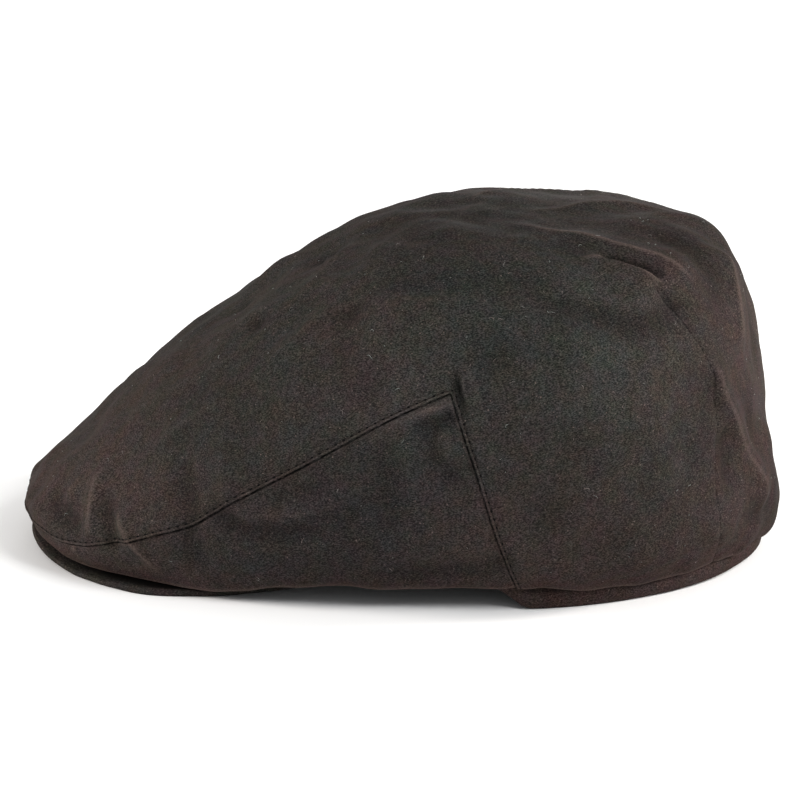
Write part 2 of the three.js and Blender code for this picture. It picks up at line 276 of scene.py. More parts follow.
# %% The folds of the left side
FOLDS |= {
    "front ripple": (0.6, 3, 3, 2, 0.1, [(18, 520), (22, 475), (27, 425), (31, 370)]),
    "upper front ripple": (0.5, 3, 3, 2, 0.1, [(10, 420), (15, 375), (20, 325), (26, 280)]),
    "middle ripple": (1.4, 3, 3, 2, 0.1, [(36, 430), (41, 378), (44.5, 325), (49, 285, 0.7), (54, 270)]),
    "rear ripple": (1.1, 3, 3, 2, 0.1, [(60, 285), (66, 282), (74, 288), (82, 300)]),
    "low front ripple": (0.9, 3, 3, 2, 0.1, [(23, 650), (26, 600), (31, 540), (37, 490)]),
    "swell over the front": (3.4, 30, 22, 2, 0, [
        (-52, 550), (-25, 530, 0.8), (0, 520), (25, 530, 0.8), (52, 550)]),
    "corner ridge": (1, 2.2, 2.4, 2, 0.4, [(64, 602), (72, 562, 0.8), (77, 547), (79.6, 536, 0.5)]),
    "valley under the corner": (-2.1, 1.8, 2.7, 2, 0, [
        (71, 600), (74.5, 582, 0.8), (77.5, 576), (79.8, 568), (81, 562, 0.4)]),
    "corner pucker": (-2.5, 1.3, 1.2, 2, 0, [
        (80.3, 468), (81, 490), (81.5, 520), (82.5, 550, 0.6), (83.6, 585)]),
    "lump behind the pucker": (0.6, 2.6, 2.6, 2, 0.1, [(83.6, 455), (84.4, 480), (85, 510), (85.8, 550)]),
    "round dent": (-1.4, 3, 3, 2, 0, [
        (75.4, 585), (76.3, 610), (77, 647), (78.8, 685), (82, 700, 0.7), (84, 700)]),
    "lump in the round dent": (0.8, 3.6, 3.6, 2, 0.1, [(79.4, 590), (79.8, 610), (80.6, 640), (81.6, 665)]),
    "upright hollow": (-0.9, 5, 5, 2, 0, [(65.5, 600), (66.5, 640), (68, 718), (69, 800, 0.8), (69, 860)]),
    "band over the hem": (1.2, 5, 5, 2, 0, [(50, 870), (60.5, 870), (70.5, 858), (84.5, 853), (90, 850)]),
    "hollow at the hem": (-1.4, 4, 5, 2, 0, [
        (60, 950), (72, 943), (82.5, 930), (91, 910, 0.8), (93.5, 905)]),
    "pinch at the back seam": (-1, 2, 2, 2, 0, [(83.3, 655), (84.6, 675), (85.4, 700)]),
    "arc under the seam": (-1.7, 2.6, 4, 2, 0, [
        (38.6, 745), (40, 766, 0.8), (43, 795), (46.5, 813), (53, 818, 0.8), (59, 810)]),
    "arc over the hollow": (1.2, 4, 3, 2, 0.1, [
        (43, 782), (46, 776, 0.8), (53, 768), (59, 748), (63.5, 700, 0.6), (66, 660)]),
    "dent beside the arc": (-1, 3, 3, 2, 0, [(45, 740), (49, 735), (55, 720), (60, 690)]),
}
print(len(FOLDS), "folds")

# %% The folds of the front
FOLDS |= {
    "end of the peak": (-1.7, 3.4, 5, 2, 0, [
        (29.5, 560), (31, 620, 0.8), (34, 690), (36.5, 777), (37.5, 893, 0.8), (37.8, 950)]),
    "ridge behind the end of the peak": (1.3, 5, 3.4, 2, 0.1, [
        (37, 600), (39, 660), (40.5, 720), (41.5, 770)]),
    "tip crease": (1.8, 4, 2.1, 1, 0.5, [
        (25.6, 790), (26.5, 820, 0.9), (27.6, 850), (28.6, 880), (29.6, 910, 0.8), (30.6, 940, 0.6),
        (31.6, 975)]),
    "broad tip crease": (1.8, 2.4, 4, 2, 0.45, [
        (18.2, 690), (19.2, 730), (20.8, 787), (21.8, 850), (22.4, 890)]),
    "hollow between the tip creases": (-1.9, 3, 2.6, 2, 0, [
        (21.6, 740), (22.6, 770, 0.8), (24.6, 825), (25.8, 885), (26.4, 920)]),
    "small tip crease": (0.7, 2.4, 2.4, 2, 0.1, [(14.6, 820), (15.3, 790), (16.2, 765), (18, 755)]),
    "hollow at the tip": (-1.8, 4.5, 4.5, 2, 0, [
        (11.5, 800), (14, 818), (18, 850), (20.5, 880, 0.6), (21.5, 895)]),
    "tip swell": (1, 9, 9, 2, 0.1, [(-8, 770), (0, 775), (4, 820), (6, 870)]),
    "seam nick": (0.4, 1.4, 1.4, 2, 0.5, [(18.8, 935), (19, 945), (19.2, 958)]),
}
print(len(FOLDS), "folds")

# %% The folds of the right side, which the photo doesn't show
FOLDS |= {
    "right crease": (2.2, 7, 2.6, 1, 0.5, [
        (-118, 200), (-126, 230), (-134, 270), (-140, 330, 0.7), (-143, 390)]),
    "right hollow": (-2, 6, 3, 2, 0, [(-104, 310), (-116, 335), (-128, 360), (-136, 350)]),
    "right back fold": (2.2, 3, 5, 2, 0.3, [(-145, 470), (-146, 540), (-150, 630), (-155, 710)]),
    "right back dent": (-1.7, 6, 6, 2, 0, [(-158, 480), (-161, 580), (-166, 700), (-170, 800)]),
    "right side dent": (-1.9, 5, 5, 2, 0, [(-64, 620), (-69, 680), (-75, 760), (-80, 840)]),
    "right hem band": (1.2, 5, 5, 2, 0, [(-46, 880), (-58, 870), (-72, 860), (-86, 870)]),
    "right corner valley": (-2, 4, 2, 2, 0, [(-68, 605), (-74, 585), (-78.5, 570), (-80.2, 562)]),
    "right corner pucker": (-2, 1.6, 2, 2, 0, [(-79.5, 460), (-80.8, 490), (-82, 530), (-83.5, 580)]),
    "right arc under the seam": (-1.8, 4, 2.6, 2, 0, [(-40, 765), (-44, 800), (-51, 820), (-58, 810)]),
    "right end of the peak": (-2, 6, 4, 2, 0, [(-32, 580), (-35, 680), (-37, 790), (-37.5, 930)]),
    "right tip crease": (1.6, 2.2, 3.6, 1, 0.5, [(-22, 760), (-24, 820), (-27, 870), (-29, 920)]),
    "right tip hollow": (-1.9, 3, 3, 2, 0, [(-20, 790), (-21.5, 830), (-23.5, 880), (-24.5, 920)]),
}
print(len(FOLDS), "folds in all")

# %% Round dimples and lumps
# angle, depth in thousandths, reach in mm, height in mm
DIMPLES = [
    (24.5, 343, 5.5, -2.5), (50.5, 302, 6, -2.3), (41, 380, 7, 1.1), (44.5, 325, 6, 0.9),
    (63, 482, 7, -1.1), (89.5, 443, 7, -1.2), (5.5, 200, 7, -2), (3, 335, 6, -1.7), (15, 430, 8, -1),
    (33, 470, 9, 1), (98, 520, 9, 0.8), (108, 620, 10, -0.7), (122, 550, 10, 0.8), (100, 780, 9, -0.8),
    (-30, 360, 7, -1.3), (-48, 300, 7, 0.9), (-60, 420, 8, -1.1), (-92, 360, 9, 0.9),
    (-105, 600, 10, -0.9), (-178, 600, 9, -0.9), (170, 920, 8, -0.8), (-130, 860, 9, 0.9),
    (-14, 280, 8, 0.9), (-14, 620, 14, 1), (173, 510, 9, -1.4), (172.5, 635, 9, 1.9),
    (173.5, 900, 8, -0.8), (166, 970, 8, 1.2), (-178, 340, 12, -1), (169, 210, 10, 0.9),
    (-168, 235, 12, 1.6), (177, 940, 9, 1.2), (36, 300, 7, -0.9), (30, 420, 7, -1), (54, 400, 8, -0.9),
    (22, 600, 9, -0.9),
]


def patched(points, table, start):
    """A start value, plus amount * exp(-(distance / reach)^2) for each row of a table."""
    value = np.full(len(points), float(start))
    for angle, depth, reach, amount in table:
        distance = np.linalg.norm(points - smooth_crown(angle, depth / 1000), axis=1)
        value += amount * bell(distance, 0, reach)
    return value


print(len(DIMPLES), "dimples and lumps")

# %% How far a point is from a fold's route
def dense_route(route, count=28):
    """A fold's route as points on the smooth crown, and their strengths."""
    usual = [0] + [1] * (len(route) - 2) + [0]
    rows = [row if len(row) == 3 else (*row, strength) for row, strength in zip(route, usual)]
    table = np.array(rows, float)
    table[:, 0] = np.degrees(np.unwrap(np.radians(table[:, 0])))
    table[:, 1] /= 1000
    at = np.linspace(0, len(table) - 1, count)
    steps = np.arange(len(table))
    angle, depth, strength = (through(np.stack([steps, column], axis=1), at) for column in table.T)
    return smooth_crown(angle, depth), np.clip(strength, 0, 1)


def beside(points, normals, route):
    """Signed distance of each point from the nearest part of a route (left of it is positive), and
    where along the route that is, in steps of the route."""
    nearest = np.full(len(points), np.inf)
    side, along = np.zeros(len(points)), np.zeros(len(points))
    for i, (start, end) in enumerate(zip(route[:-1], route[1:])):
        step = end - start
        share = np.clip((points - start) @ step / (step @ step), 0, 1)
        offset = points - (start + share[:, None] * step)
        distance = np.linalg.norm(offset, axis=1)
        closer = distance < nearest
        left = np.einsum("ij,ij->i", offset, np.cross(normals, step))
        nearest = np.where(closer, distance, nearest)
        side = np.where(closer, np.where(left < 0, -1.0, 1.0), side)
        along = np.where(closer, i + share, along)
    return side * nearest, along


print(f"the long crease is {travelled(dense_route(FOLDS['long crease'][-1])[0])[-1]:.0f} mm long")

# %% The lift of the cloth by folds and crumples
CREST_ROUNDING = 0.7  # mm over which a crest is blunt
CREST_WEAR_AND_HIGHLIGHT_WIDTH = 0.9  # mm to each side of a crest that is worn and given a painted highlight
FADE_REACH = 4.0  # a fold is left out beyond this many widths
LENGTH_SPREAD = (0.75, 1.4)  # lengths of single waves, as shares of the wavelength
CRUMPLES = [(0.5, 62, 3), (0.48, 24, 4), (0.18, 12, 6)]  # height, wavelength, seed: broad, small, fine
SHARP_CRUMPLES = (0.5, 0.35, 38, 5)  # height, level of the crests, wavelength, seed


def fold_lift(points, normals):
    """Sum over the folds of height * strength * exp(-(distance / width)^power), with rounded crests, and
    over the dimples of height * exp(-(distance / reach)^2). Also gives the wear and painted highlight of
    the crests."""
    lift, wear_and_highlight = np.zeros(len(points)), np.zeros(len(points))
    for height, left, right, power, crest_mark, route in FOLDS.values():
        line, strength = dense_route(route)
        middle = line.mean(axis=0)
        reach = np.linalg.norm(line - middle, axis=1).max() + FADE_REACH * max(left, right)
        close = np.flatnonzero(np.linalg.norm(points - middle, axis=1) < reach)
        if len(close) == 0:
            continue
        distance, along = beside(points[close], normals[close], line)
        away = np.sqrt(distance**2 + CREST_ROUNDING**2) - CREST_ROUNDING
        strong = np.interp(along, np.arange(len(line)), strength)
        lift[close] += height * (np.exp(-((away / np.where(distance > 0, left, right)) ** power)) * strong)
        wear_and_highlight[close] += crest_mark * strong * bell(distance, 0, CREST_WEAR_AND_HIGHLIGHT_WIDTH)
    return lift + patched(points, DIMPLES, 0), wear_and_highlight


def waves(points, wavelength, seed, count=24):
    """Seeded sum of plane waves of random direction, each sin(2 pi p.d / length + phase), divided by the
    square root of their count, so that it stays at about -1 to 1."""
    rng = np.random.default_rng(seed)
    directions = unit(rng.normal(size=(count, 3)))
    lengths = wavelength * rng.uniform(*LENGTH_SPREAD, count)
    phases = rng.uniform(0, 2 * np.pi, count)
    turns = points @ (directions * 2 * np.pi / lengths[:, None]).T + phases
    return np.sin(turns).sum(axis=1) / np.sqrt(count)


def crumple(points):
    """Shallow dents: waves of three sizes, and height * (level - |waves|), whose crests are sharp."""
    broad, small, fine = (height * waves(points, length, seed) for height, length, seed in CRUMPLES)
    height, level, length, seed = SHARP_CRUMPLES
    return broad + small + height * (level - np.abs(waves(points, length, seed))) + fine


print("crumples on the seam reach", np.abs(crumple(left_seam)).max().round(1), "mm")

# %% [markdown]
# ## Where the wax is thin or violet, and where light and shade are painted
#
# A used cap isn't one colour all over: the wax rubs thin at the tip and the back, and the colour is made
# paler or darker in patches as painted light and shade. This could be painted on an image, but a few soft
# round patches, placed by direction and depth, say the same and can be read and changed.

# %% The patches: angle, depth in thousandths, reach in mm, amount
# wax worn thin, so that the cloth looks brown (above 0), or whole (below 0)
WAX_PATCHES = [
    (160, 850, 45, 0.45), (160, 400, 45, 0.25), (110, 930, 30, 0.35), (135, 970, 30, 0.4),
    (10, 850, 36, 0.4), (-15, 900, 36, 0.35), (45, 970, 24, -0.3), (62, 900, 34, -0.4),
    (75, 700, 22, -0.2), (110, 350, 34, -0.4), (80, 200, 30, -0.25), (122, 140, 16, -0.3),
    (100, 620, 24, 0.1), (88, 800, 14, 0.25), (125, 740, 26, -0.2), (30, 500, 26, -0.2),
    (-160, 800, 45, 0.4), (-110, 400, 36, -0.35), (-60, 900, 36, -0.35), (-130, 900, 34, 0.3),
    (-20, 600, 30, -0.15),
]

# painted light, where an amount above 0 makes the cloth paler, and painted shade, where one below 0 makes
# it darker
PAINTED_LIGHT_AND_SHADE_PATCHES = [
    (119, 420, 34, 0.22), (74, 520, 24, 0.22), (18, 760, 26, 0.16), (31, 500, 30, -0.12),
    (70, 30, 40, -0.34), (0, 400, 18, -0.12), (-8, 580, 18, -0.14), (158, 180, 24, -0.3),
    (175, 520, 22, 0.3), (163, 480, 16, 0.14), (138, 550, 22, -0.16), (160, 860, 20, -0.12),
    (125, 800, 26, -0.15), (60, 800, 24, -0.18), (165, 940, 24, -0.15), (-119, 420, 34, 0.2),
    (-74, 520, 24, 0.2), (-31, 500, 30, -0.1), (-125, 800, 26, -0.12),
]

# a violet cast, mostly on the side panels
VIOLET_PATCHES = [
    (62, 800, 32, 0.6), (40, 940, 24, 0.4), (78, 720, 20, 0.3), (70, 500, 20, 0.2), (160, 600, 26, 0.2),
    (-62, 800, 32, 0.6), (-40, 940, 24, 0.4), (-78, 720, 20, 0.3),
]
print(len(WAX_PATCHES + PAINTED_LIGHT_AND_SHADE_PATCHES + VIOLET_PATCHES), "patches")

# %% [markdown]
# ## How the cloth lies at a seam
#
# Behind a seam the cut edges are folded to one side, so the panel on that side is a little raised for
# about 6 mm and the other panel starts lower. A row of stitches beside the seam presses a furrow into
# the raised part. Each vertex knows its distance from the seam, which gives this relief in geometry, and
# the same distance is kept as an attribute so that the material can darken the crack. The rear dart is a
# seam of another kind: a tuck from the rear corner down to the hem, sewn shut from inside.

# %% The lines of the seams and darts, and the distance to them
SEAM_CRACK = 0.15  # from the seam line to where a panel's edge starts to roll in
STITCH_ROW = 1.35  # from the seam line to the row of stitches on the top panel
FAR = 16.0  # mm: beyond this a seam has no effect on the cloth
KNOT_STEP = 6  # only every sixth point of a seam is needed to find what is near it
DART = [  # angle and depth in thousandths, from the dart's tip to the hem
    (133.4, 300), (134.5, 340), (136.5, 410), (138.5, 460), (140, 520), (140, 580), (139.4, 690),
    (138.5, 800), (139, 875), (141.5, 940), (144.5, 1000),
]
left_dart = dense_route(DART, count=60)[0]
SEAMS, DARTS = ([line, line * (-1, 1, 1)] for line in (left_seam, left_dart))


def distance_to(points, normals, routes):
    """Signed distance from each point to the nearest of some routes in mm, only worked out where small."""
    nearest = np.full(len(points), FAR)
    for route in routes:
        coarse = np.min([np.linalg.norm(points - knot, axis=1) for knot in route[::KNOT_STEP]], axis=0)
        close = np.flatnonzero(coarse < FAR)
        distance = beside(points[close], normals[close], route)[0]
        nearest[close] = np.where(np.abs(distance) < np.abs(nearest[close]), distance, nearest[close])
    return nearest


print(f"stitch row {STITCH_ROW} mm from the seam; dart {travelled(left_dart)[-1]:.0f} mm long")

# %% Relief beside the seams
EDGE_STEP, STEP_START, STEP_END = 0.55, 4.5, 8.5  # mm: height, and the distances over which it ends
FURROW, FURROW_WIDTH = 0.12, 0.45
SUNK, SUNK_START, SUNK_END = 0.25, 0.5, 4.0
SHOULDER, SHOULDER_WIDTH, GROOVE, GROOVE_WIDTH = 0.30, 5, 0.45, 0.9


def falling(x, start, end):
    """1 before start, 0 after end, with a smooth step in between."""
    u = np.clip((x - start) / (end - start), 0, 1)
    return 1 - u * u * (3 - 2 * u)


def raised_edge(distance):
    """The panel over the folded cut edges: a low step about 6 mm wide, with a furrow at the stitches."""
    step = EDGE_STEP * falling(distance, STEP_START, STEP_END)
    return step - FURROW * bell(distance, STITCH_ROW, FURROW_WIDTH)


def lower_edge(distance):
    """The panel that starts under the seam: sunk a little beside it."""
    return -SUNK * falling(distance, SUNK_START, SUNK_END)


def no_edge(distance):
    """Cloth whose seams don't matter."""
    return 0 * distance


def dart_relief(distance):
    """A shut dart: a fine groove between two soft shoulders."""
    return SHOULDER * bell(distance, 0, SHOULDER_WIDTH) - GROOVE * bell(distance, 0, GROOVE_WIDTH)


print("step at a seam:", (raised_edge(0) - lower_edge(0)).round(2), "mm")

# %% A point of the finished cloth, and what the material reads there
CLOTH_RUN = 170.0  # about how much cloth there is from the top to the hem, in mm
DEEP = 3.0  # a dent this deep gets the darkest painted shade
HEM_WEAR, HEM_WEAR_WIDTH = 0.6, 1.3
SEAM_WEAR, SEAM_WEAR_PLACE, SEAM_WEAR_WIDTH = 0.2, 0.8, 0.3
HEM_THIN_WAX, HEM_THIN_WIDTH, HEM_PLAIN_WIDTH = 0.9, 9, 7
PLAIN_LOOKS = {"wear_and_highlight": 0, "seam": FAR, "dart": FAR, "hollow": 0, "thin_wax": 0.5, "pale": 1, "violet": 0}


def cloth_point(angle, depth, inset, edge):
    """A point of the cloth: the smooth crown, lifted by folds, crumples and the edge's relief, less the
    inset, along the normal. Also gives the normal, and the values that the material reads there."""
    smooth = smooth_crown(angle, depth).reshape(-1, 3)
    normal = crown_normal(angle, depth).reshape(-1, 3)
    lift, crest = fold_lift(smooth, normal)
    seam = np.abs(distance_to(smooth, normal, SEAMS))
    dart = distance_to(smooth, normal, DARTS)
    hem = CLOTH_RUN * (1 - np.ravel(depth + 0 * np.asarray(angle)))
    seam_wear = SEAM_WEAR * bell(seam, SEAM_WEAR_PLACE, SEAM_WEAR_WIDTH)
    looks = {
        # lighter on the crests, partly wear and partly a painted highlight; at the hem and beside the
        # seams, wear
        "wear_and_highlight": crest + HEM_WEAR * bell(hem, 0, HEM_WEAR_WIDTH) + seam_wear,
        "seam": seam,
        "dart": dart,
        # painted shade: darker in dents and on the low sides of folds, the deeper the darker
        "hollow": np.clip(-lift / DEEP, 0, 1),
        "thin_wax": patched(smooth, WAX_PATCHES, 0.5) + HEM_THIN_WAX * bell(hem, 0, HEM_THIN_WIDTH),
        # painted light and shade: a factor on the colour, 1 where no patch lies
        "pale": patched(smooth, PAINTED_LIGHT_AND_SHADE_PATCHES, 1.0),
        "violet": patched(smooth, VIOLET_PATCHES, 0) * (1 - bell(hem, 0, HEM_PLAIN_WIDTH)),
    }
    lift = lift + crumple(smooth) + edge(seam) + dart_relief(dart)
    return smooth + normal * (lift - np.ravel(inset))[:, None], normal, looks


def plain_looks(shape, **changes):
    """The material's values for cloth without seams or folds, with some of them changed."""
    looks = {**PLAIN_LOOKS, **changes}
    return {key: np.broadcast_to(value, shape).astype(float).ravel() for key, value in looks.items()}


print("values kept at each point:", ", ".join(PLAIN_LOOKS))

# %% [markdown]
# ## From grids to closed walls
#
# A panel could be a single sheet thickened by a Solidify modifier, but its cut edge would then be a
# flat strip. Here the outer face, a rolled edge and the inner face are rows of one grid: the edge is half
# an ellipse that leaves the cloth along its border's outward direction. Rows and columns join into
# quads with numpy, and the mesh is filled in one call.

# %% Columns round the crown, and the edges of the cloth
CLOTH = 1.8  # thickness of the cloth with its turned edges
EDGE_REACH = 0.45  # how far a rolled edge stands out
EDGE_ROWS = 5
FINE_STEPS = 7201  # points that measure the way round the crown
LEAST_SLOPE = 12.0  # mm per unit of depth that an inset is measured by


def column_angles(stops, spacing):
    """Directions about `spacing` mm apart along the bulge ring, with one exactly at each stop."""
    fine = np.linspace(stops[0], stops[-1], FINE_STEPS)
    way = travelled(place(fine, ring_radius(BULGE, fine), 0))
    parts = [np.array([stops[0]], float)]
    for start, end in zip(stops[:-1], stops[1:]):
        span = np.interp([start, end], fine, way)
        count = max(int(round((span[1] - span[0]) / spacing)), 1)
        parts.append(np.interp(np.linspace(*span, count + 1)[1:], way, fine))
    return np.concatenate(parts)


def border_directions(border, normal, closed=False):
    """Unit vectors out of the cloth at its border: the border's tangent crossed with the normal."""
    if closed:
        tangent = np.roll(border, -1, axis=0) - np.roll(border, 1, axis=0)
    else:
        tangent = np.gradient(border, axis=0)
    return unit(np.cross(tangent, normal))


def border_depth(angle, inset):
    """Depth of the seam line moved `inset` mm up the cloth, or down it where the inset is below 0."""
    depth = seam_depth(angle)
    line = smooth_crown(angle, depth)
    down, around = crown_slopes(angle, depth)
    outward = border_directions(line, unit(np.cross(down, around)))
    return depth - inset / np.maximum(np.abs((down * outward).sum(axis=-1)), LEAST_SLOPE)


def rolled_edge(border, outward, normal, thickness):
    """Rows round half an ellipse from the outer face to the inner one:
    border + outward * reach * sin(turn) - normal * thickness / 2 * (1 - cos(turn))."""
    turn = np.linspace(0, np.pi, EDGE_ROWS + 2)[1:-1, None, None]
    return border + outward * EDGE_REACH * np.sin(turn) - normal * thickness / 2 * (1 - np.cos(turn))


print("columns round the crown at 1.3 mm:", len(column_angles([-180, 180], 1.3)) - 1)

# %% Faces of a grid, and the mesh of a piece
def row_quads(rows, columns):
    """Quads of a grid numbered row by row, whose rows are closed: down a row, along a column, and back."""
    row, column = np.meshgrid(np.arange(rows - 1), np.arange(columns), indexing="ij")
    following = (column + 1) % columns
    corners = [row * columns + column, (row + 1) * columns + column,
               (row + 1) * columns + following, row * columns + following]
    return np.stack(corners, axis=-1).reshape(-1, 4)


def fan(pole, ring, inward=False):
    """Triangles between a pole and a closed ring of point numbers."""
    following = np.roll(ring, -1)
    middle = np.full_like(ring, pole)
    order = [ring, middle, following] if inward else [middle, ring, following]
    return np.stack(order, axis=-1)


def sleeve(count, size):
    """Faces of a row of closed cross-sections, numbered loop by loop: the quads, and the two flat ends."""
    ring = np.arange(size)[None]
    return [row_quads(count, size)[:, [0, 3, 2, 1]], ring[:, ::-1], ring + (count - 1) * size]


def make_piece(name, points, faces, material, node=None, **attributes):
    """Puts points in mm and groups of faces into a mesh at the origin, which rides on the one body."""
    mesh = bpy.data.meshes.new(name)
    points = points.reshape(-1, 3) * MM
    mesh.from_pydata(points.tolist(), [], [face for group in faces for face in group.tolist()])
    mesh.polygons.foreach_set("use_smooth", np.ones(len(mesh.polygons), bool))
    for key, values in attributes.items():
        mesh.attributes.new(key, "FLOAT", "POINT").data.foreach_set("value", values.astype(np.float32))
    mesh.materials.append(material)
    piece = bpy.data.objects.new(name, mesh)
    bpy.context.scene.collection.objects.link(piece)
    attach(piece, "root")
    if node:
        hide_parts(node)
    mesh.calc_loop_triangles()
    print(f"{name}: {len(mesh.vertices)} points, {len(mesh.loop_triangles)} triangles")
    return piece


print("a sleeve of 3 rings of 4 points has", sum(len(group) for group in sleeve(3, 4)), "faces")

# %% [markdown]
# ## Shader formulas
#
# Node trees are hard to read when they are wired one link at a time. A small class wraps a socket and
# overloads the arithmetic operators, so that a mask is written as a formula, and each operator adds its
# own Math node. Every other kind of node comes from one method that takes the node's type, its settings
# and what its sockets get.

# %% A socket that can be used in a formula
class Formula:
    """A node socket. Arithmetic on it adds Math nodes, and gives a Formula again."""

    def __init__(self, tree, socket=None):
        self.tree, self.socket = tree, socket

    def node(self, kind, settings=(), inputs=(), output=0):
        """Adds a node of a type, sets its settings, then gives its sockets their values or links."""
        node = self.tree.nodes.new(kind)
        for key, value in dict(settings).items():
            setattr(node, key, value)
        for key, value in dict(inputs).items():
            if isinstance(value, Formula):
                self.tree.links.new(value.socket, node.inputs[key])
            else:
                node.inputs[key].default_value = value
        return Formula(self.tree, node.outputs[output])

    def math(self, operation, *terms):
        """A Math node of an operation on the terms, which are values or Formulas."""
        return self.node("ShaderNodeMath", {"operation": operation}, enumerate(terms))

    def __add__(self, other):
        return self.math("ADD", self, other)

    def __mul__(self, other):
        return self.math("MULTIPLY", self, other)

    def __sub__(self, other):
        return self.math("SUBTRACT", self, other)

    def __rsub__(self, other):
        return self.math("SUBTRACT", other, self)

    __radd__, __rmul__ = __add__, __mul__

    def __abs__(self):
        return self.math("ABSOLUTE", self)

    def between(self, low, high):
        """0 up to low, 1 from high on, and a smooth step in between."""
        inputs = {"Value": self, "From Min": low, "From Max": high}
        return self.node("ShaderNodeMapRange", {"interpolation_type": "SMOOTHSTEP"}, inputs)

    def noise(self, size, detail=2.0, rough=0.5, warp=0.0):
        """Noise from 0 to 1 whose blotches are about `size` mm, at this position."""
        inputs = {"Vector": self, "Scale": 0.5 / (size * MM), "Detail": detail, "Roughness": rough}
        return self.node("ShaderNodeTexNoise", {}, {**inputs, "Distortion": warp})

    def stretched(self, x, y, z, tilt=0.0):
        """This position turned about x by some degrees, with each axis scaled."""
        inputs = {"Vector": self, "Rotation": (np.radians(tilt), 0, 0), "Scale": (x, y, z)}
        return self.node("ShaderNodeMapping", {}, inputs)

    def blend(self, first, second):
        """The first colour where this mask is 0, the second where it is 1."""
        return self.node("ShaderNodeMix", {"data_type": "RGBA"}, {0: self, 6: first, 7: second}, output=2)

    def times(self, other):
        """This colour multiplied by another one, channel by channel."""
        return self.node("ShaderNodeVectorMath", {"operation": "MULTIPLY"}, {0: self, 1: other})

    def scaled(self, factor):
        """This colour made lighter or darker by a factor."""
        return self.node("ShaderNodeVectorMath", {"operation": "SCALE"}, {0: self, "Scale": factor})

    def attribute(self, name):
        """A value that the mesh keeps at each of its points."""
        return self.node("ShaderNodeAttribute", {"attribute_name": name}, output="Fac")


print("a Formula takes + - * and abs, with a number on either side")

# %% Colours, and a material to start from
def srgb(red, green, blue):
    """A colour read off a screen, 0 to 255, as the linear colour that a shader takes."""
    c = np.array([red, green, blue]) / 255
    linear = np.where(c <= 0.04045, c / 12.92, ((c + 0.055) / 1.055) ** 2.4)
    return (*linear.tolist(), 1.0)


def new_material(name):
    """A material, its shader, and the position on the object, from which its formulas start."""
    material = bpy.data.materials.new(name)
    material.use_nodes = True
    where = Formula(material.node_tree).node("ShaderNodeTexCoord", output="Object")
    return material, material.node_tree.nodes["Principled BSDF"], where


def finish_material(shader, colour, roughness, height, bump, **constants):
    """Links colour, roughness and a bump of some strength and distance in mm, and sets the rest."""
    strength, distance = bump
    inputs = {"Strength": strength, "Distance": distance * MM, "Height": height}
    normal = colour.node("ShaderNodeBump", {}, inputs)
    for key, value in {"Base Color": colour, "Roughness": roughness, "Normal": normal}.items():
        colour.tree.links.new(value.socket, shader.inputs[key])
    for key, value in constants.items():
        shader.inputs[key.replace("_", " ")].default_value = value


print("mid grey on a screen is", round(srgb(128, 128, 128)[0], 3), "in a shader")

# %% [markdown]
# ## Waxed cotton
#
# The cloth is a tight plain weave, brushed to a short nap and soaked in wax. It looks near-black where
# the wax is whole, greener where it is thick and browner where it is thin or rubbed. It could be shaded
# as velvet, whose sheen lights up every rim, but wax glues most of the nap down, so only a trace of sheen
# is left. Noises of several sizes give the mottling, the finest ones stand for single fibres, and a bump
# breaks up the surface. The values kept on the meshes lighten the crests of creases, partly as wear and
# partly as a painted highlight, make the cloth paler or darker as painted light and shade, paint shade
# into the hollows, and darken the crack of each seam.

# %% The colours of the cloth, and the size of its marks in mm
GREEN_BLACK, BROWN = srgb(28.5, 33, 31), srgb(44.5, 36, 34.5)  # under whole wax, and under thin wax
GREY_FIBRE, RUBBED_FIBRE = srgb(76, 80, 76), srgb(91, 75, 71)  # the nap over each of them
# the colour of the crests' wear and painted highlight, of specks, and near-black
WEAR_AND_HIGHLIGHT_COLOUR, SPECK, NEAR_BLACK = srgb(126, 108, 101), srgb(150, 130, 122), srgb(5, 5, 5)
GREENER, REDDER = (0.94, 1.026, 1, 1), (1.085, 0.974, 0.985, 1)
YELLOWER, BLUER = (1, 1.006, 0.915, 1), (1, 0.994, 1.08, 1)
NO_TINT, VIOLET = (1, 1, 1, 1), (0.99, 0.93, 1.04, 1)
PATCH, CLOUD, BLUE_MARK, RED_MARK, FUZZ, THREADS = 34, 9, 4, 2.5, 1.5, 0.9
CLUMP, DOT, FIBRE = 0.4, 0.3, 0.2
NAP_TILT = 35  # degrees that the fibres lean
FAINT_GLOSS = {"Specular_IOR_Level": 0.01, "Sheen_Weight": 0.006, "Sheen_Roughness": 0.3,
               "Sheen_Tint": (0.90, 0.78, 0.72, 1.0)}
print("marks from", FIBRE, "to", PATCH, "mm")

